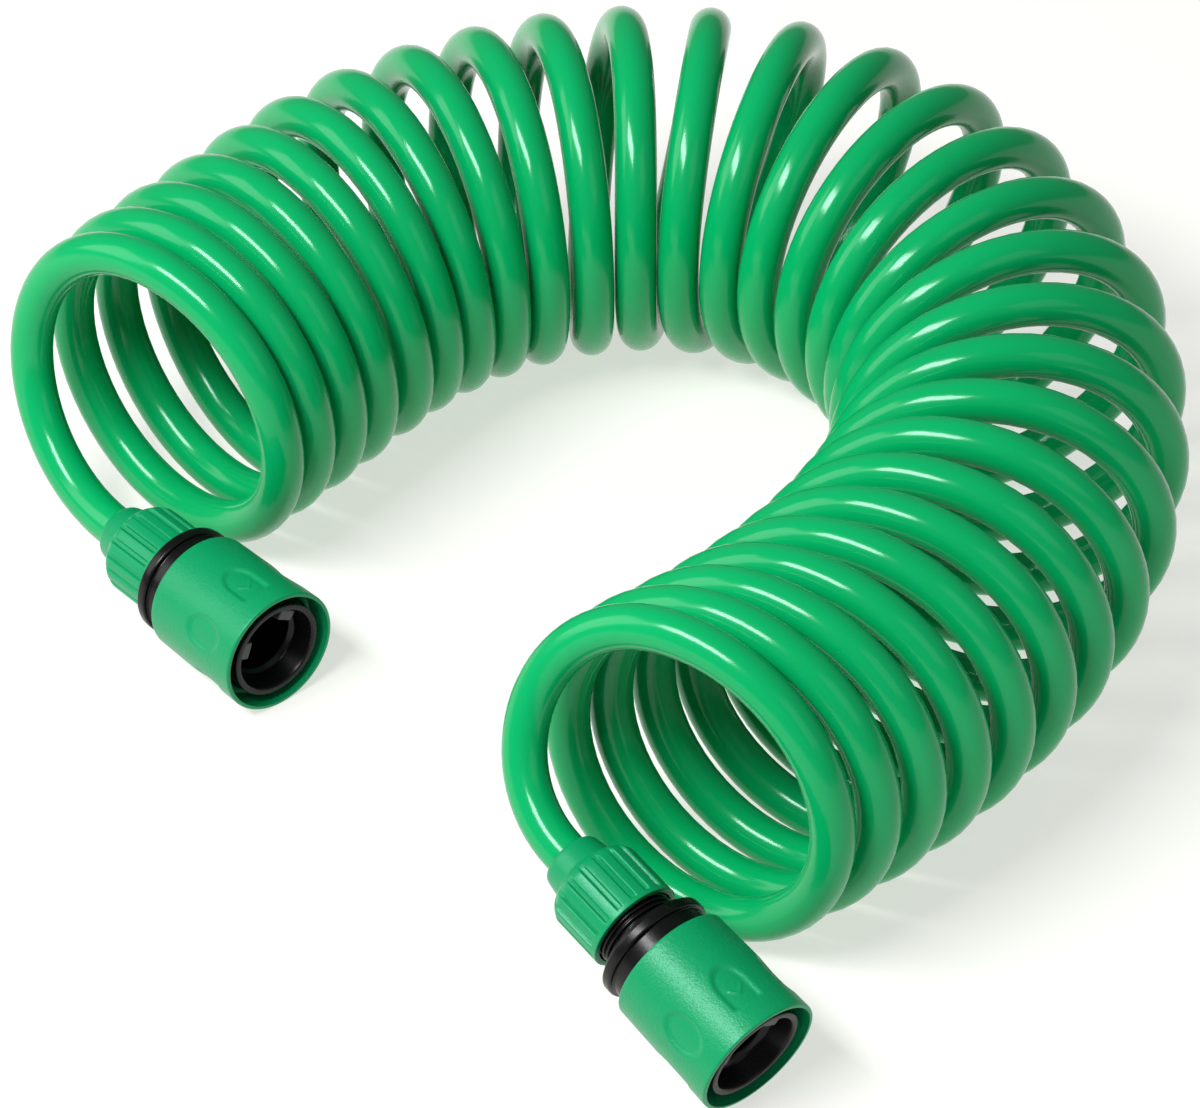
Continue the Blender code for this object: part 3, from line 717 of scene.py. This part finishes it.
class COILHOSE_OT_bodies(bpy.types.Operator):
    """The black socket bodies with rim, barrel, flange and thread, and the jaws in them"""
    bl_idname = "coilhose.bodies"
    bl_label = "Bodies"

    THREAD_DEPTH = 0.7 * MM
    JAW_FRONT_TOOTH = 0.5 * MM
    JAW_REAR_TOOTH = 1.3 * MM
    JAW_NOSE = 0.8 * MM
    JAW_ROUNDING = 0.6 * MM

    def execute(self, context):
        settings = context.scene.socket_settings
        look = black_finish(tuple(settings.black))
        jaw_look = jaw_finish(tuple(settings.jaw))
        for side in ENDS:
            place = end_matrix(side)
            angles = full_turn(settings.steps)
            mesh = turned_mesh(side + "_body_shell", filleted(self.outline()), angles, place)
            mesh.materials.append(look)
            body = new_object(side + "_body_shell", mesh)
            thread = self.thread(side, place, settings.thread_pitch, look)
            for item in (body, thread):
                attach(item, "hose")
            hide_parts(side + "_body")
            for letter, angle in zip("ab", JAW_ANGLES):
                self.jaw(side, letter, angle, place, jaw_look)
        return {"FINISHED"}

    def outline(self):
        root = THREAD_RADIUS - self.THREAD_DEPTH
        return [
            (RIM_RADIUS, -RIM_RECESS, 0.5 * MM),
            (RIM_RADIUS, -RIM_RECESS - RIM_LENGTH, 0.2 * MM),
            (BARREL_RADIUS, -RIM_RECESS - RIM_LENGTH - 0.8 * MM, 0.3 * MM),
            (BARREL_RADIUS, -FLANGE_FRONT, 0.4 * MM),
            (FLANGE_RADIUS, -FLANGE_FRONT, 0.8 * MM),
            (FLANGE_RADIUS, -FLANGE_REAR + 0.9 * MM, 0.7 * MM),
            (FLANGE_RADIUS - 1.1 * MM, -FLANGE_REAR + 0.9 * MM, 0.4 * MM),
            (FLANGE_RADIUS - 1.3 * MM, -FLANGE_REAR, 0.4 * MM),
            (root, -FLANGE_REAR, 0.4 * MM),
            (root, -BODY_REAR, 1.0 * MM),
            (WATERWAY_RADIUS, -BODY_REAR, 0.0),
            (WATERWAY_RADIUS, -SOCKET_DEPTH, 0.5 * MM),
            (SOCKET_RADIUS, -SOCKET_DEPTH, 0.5 * MM),
            (SOCKET_RADIUS, -RIM_RECESS - MOUTH_CHAMFER - 0.6 * MM, 0.5 * MM),
            (SOCKET_RADIUS + 1.3 * MM, -RIM_RECESS - MOUTH_CHAMFER + 0.4 * MM, 0.4 * MM),
            (MOUTH_HOLE_RADIUS - 0.3 * MM, -RIM_RECESS - 0.9 * MM, 0.5 * MM),
            (MOUTH_HOLE_RADIUS, -RIM_RECESS, 0.5 * MM),
        ]

    def thread(self, side, place, pitch, look):
        """Ridge of the thread, swept along a spiral."""
        height = BODY_REAR - FLANGE_REAR - 1.6 * MM
        recipe = Recipe(side + "_thread_sweep")
        step = recipe.entry("Pitch", "Float", pitch)
        spiral = recipe.node("CurveSpiral", None, {"Resolution": 64, "Rotations": height / pitch,
                                                   "Start Radius": THREAD_RADIUS - 0.45 * MM,
                                                   "End Radius": THREAD_RADIUS - 0.45 * MM, "Height": height})
        ridge = recipe.node("CurvePrimitiveCircle", {"mode": "RADIUS"}, {"Resolution": 6})
        half = recipe.node("ShaderNodeMath", {"operation": "MULTIPLY"}, {0: step, 1: 0.36})
        recipe.tree.links.new(half.outputs[0], ridge.inputs["Radius"])
        swept = recipe.node("CurveToMesh", None, {"Curve": spiral.outputs[0], "Profile Curve": ridge.outputs[0],
                                                  "Fill Caps": True})
        soft = recipe.node("SetShadeSmooth", None, {"Geometry": swept.outputs[0]})
        recipe.end(soft.outputs[0], look)
        item = recipe.apply(new_object(side + "_thread", bpy.data.meshes.new("spiral")), {"Pitch": pitch})
        item.data.transform(place @ Matrix.Translation((0.0, 0.0, -BODY_REAR + 0.8 * MM)))
        return item

    def jaw(self, side, letter, angle, place, look):
        """Locking jaw, which reaches further in and further forward than its solid."""
        form = bmesh.new()
        bmesh.ops.create_cube(form, size=1.0)
        bmesh.ops.transform(form, matrix=Matrix.Diagonal((*JAW_SIZE, 1.0)), verts=form.verts)
        for vert in form.verts:
            vert.co.z += self.JAW_NOSE if vert.co.z > 0.0 else 0.0
            if vert.co.x < 0.0:
                vert.co.x -= self.JAW_FRONT_TOOTH if vert.co.z > 0.0 else self.JAW_REAR_TOOTH
        bmesh.ops.bevel(form, geom=form.edges[:], offset=self.JAW_ROUNDING, segments=4, profile=0.6,
                        affect="EDGES")
        middle = (JAW_INNER_RADIUS + 0.5 * JAW_SIZE[0], 0.0, -JAW_MIDDLE)
        spot = Matrix.Rotation(angle, 4, "Z") @ Matrix.Translation(middle)
        mesh = finished_mesh(side + "_jaw_" + letter + "_pad", form, place @ spot)
        mesh.materials.append(look)
        pad = new_object(side + "_jaw_" + letter + "_pad", mesh)
        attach(pad, "hose")
        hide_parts(side + "_jaw_" + letter)


class COILHOSE_OT_nuts(bpy.types.Operator):
    """The two green clamping nuts: one grip rib's share of the nut, set all round"""
    bl_idname = "coilhose.nuts"
    bl_label = "Nuts"

    RIB_STEPS = 26
    GROOVE_HALF = 0.45 * MM
    GROOVE_WALL = 0.55 * MM

    def execute(self, context):
        settings = context.scene.socket_settings
        look = moulded_finish("moulded_green_nut", tuple(settings.green), 0.35)
        self.floor = NUT_RADIUS - settings.groove
        self.share = math.tau / settings.lands
        for side, end in ENDS.items():
            place = end_matrix(side) @ Matrix.Translation((0.0, 0.0, -FLANGE_REAR - end["nut_back"]))
            sector = turned_mesh("nut_sector", self.outline(), self.angles(), Matrix.Identity(4),
                                 self.surface, False)
            nut = self.set_round(side, sector, settings.lands, look)
            self.finish(nut.data, place)
            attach(nut, side + "_nut")
            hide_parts(side + "_nut")
        return {"FINISHED"}

    def outline(self):
        shoulder = NUT_RIBBED_LENGTH + 2.2 * MM
        band = [(NUT_RADIUS, -NUT_FRONT_BAND * step / 2, 0.0) for step in range(1, 5)]
        corners = filleted([
            (NUT_RADIUS, 0.0, 0.5 * MM),
            *band,
            (NUT_RADIUS, -NUT_RIBBED_LENGTH, 0.9 * MM),
            (NUT_RADIUS - 1.5 * MM, -shoulder, 0.7 * MM),
            (NUT_NECK_RADIUS, -shoulder - 1.0 * MM, 1.0 * MM),
            (NUT_COLLAR_RADIUS, -NUT_LENGTH, 1.7 * MM),
            (NUT_HOLE_RADIUS, -NUT_LENGTH, 0.5 * MM),
            (NUT_HOLE_RADIUS, -NUT_RIBBED_LENGTH - 2.8 * MM, 0.0),
            (NUT_CAVITY_RADIUS, -NUT_RIBBED_LENGTH + 0.2 * MM, 0.0),
            (NUT_CAVITY_RADIUS, 0.0, 0.3 * MM),
        ], 5)
        return [tuple(point) for point in corners]

    def angles(self):
        """Angles across one rib and half a groove on each side of it."""
        return [self.share * step / self.RIB_STEPS for step in range(self.RIB_STEPS + 1)]

    def surface(self, radius, angle, height):
        """Radius of the nut at a place: lowered to the groove's floor beside the rib."""
        if radius <= self.floor:
            return radius
        across = min(angle, self.share - angle) * NUT_RADIUS
        rise = smoothstep((across - self.GROOVE_HALF) / self.GROOVE_WALL)
        band = smoothstep((height + NUT_FRONT_BAND + 0.5 * MM) / (0.5 * MM))
        return self.floor + (radius - self.floor) * max(rise, band)

    def set_round(self, side, sector, count, look):
        recipe = Recipe(side + "_nut_ribs")
        number = recipe.entry("Ribs", "Int", count)
        centre = recipe.node("Points", None, {"Count": number, "Position": (0.0, 0.0, 0.0)})
        index = recipe.node("InputIndex")
        share = recipe.node("ShaderNodeMath", {"operation": "DIVIDE"}, {0: index.outputs[0], 1: number})
        angle = recipe.node("ShaderNodeMath", {"operation": "MULTIPLY"}, {0: share.outputs[0], 1: math.tau})
        turn = recipe.node("ShaderNodeCombineXYZ", None, {"Z": angle.outputs[0]})
        ribs = recipe.node("InstanceOnPoints", None, {"Points": centre.outputs[0],
                                                      "Instance": recipe.start.outputs["Geometry"],
                                                      "Rotation": turn.outputs[0]})
        recipe.end(ribs.outputs[0], look)
        return recipe.apply(new_object(side + "_nut_grip", sector), {"Ribs": count})

    def finish(self, mesh, place):
        """Joins the shares into one closed nut and puts it in its place."""
        form = bmesh.new()
        form.from_mesh(mesh)
        bmesh.ops.remove_doubles(form, verts=form.verts, dist=0.000003)
        bmesh.ops.recalc_face_normals(form, faces=form.faces)
        form.transform(place)
        form.to_mesh(mesh)
        form.free()
        mesh.shade_smooth()
        mesh.set_sharp_from_angle(angle=math.radians(50.0))


class COILHOSE_PT_panel(bpy.types.Panel):
    """Steps of the coil hose, in order"""
    bl_idname = "COILHOSE_PT_panel"
    bl_label = "Coil Hose"
    bl_space_type = "VIEW_3D"
    bl_region_type = "UI"
    bl_category = "Coil Hose"

    def draw(self, context):
        for step in STEPS:
            self.layout.operator(step.bl_idname, text=step.bl_label)
        scene = context.scene
        for owner in (scene.hose_settings, scene.socket_settings, scene.studio_settings):
            for name in owner.__annotations__:
                self.layout.prop(owner, name)


STEPS = (COILHOSE_OT_stage, COILHOSE_OT_hose, COILHOSE_OT_sleeves, COILHOSE_OT_bodies, COILHOSE_OT_nuts)
CLASSES = (HoseSettings, SocketSettings, StudioSettings, *STEPS, COILHOSE_PT_panel)


def register():
    for item in CLASSES:
        bpy.utils.register_class(item)
    bpy.types.Scene.hose_settings = PointerProperty(type=HoseSettings)
    bpy.types.Scene.socket_settings = PointerProperty(type=SocketSettings)
    bpy.types.Scene.studio_settings = PointerProperty(type=StudioSettings)


def unregister():
    del bpy.types.Scene.hose_settings
    del bpy.types.Scene.socket_settings
    del bpy.types.Scene.studio_settings
    for item in reversed(CLASSES):
        bpy.utils.unregister_class(item)


def main():
    register()
    for step in STEPS:
        group, name = step.bl_idname.split(".")
        if getattr(getattr(bpy.ops, group), name)() != {"FINISHED"}:
            raise RuntimeError(step.bl_label + " was not made")


if __name__ == "__main__":
    main()
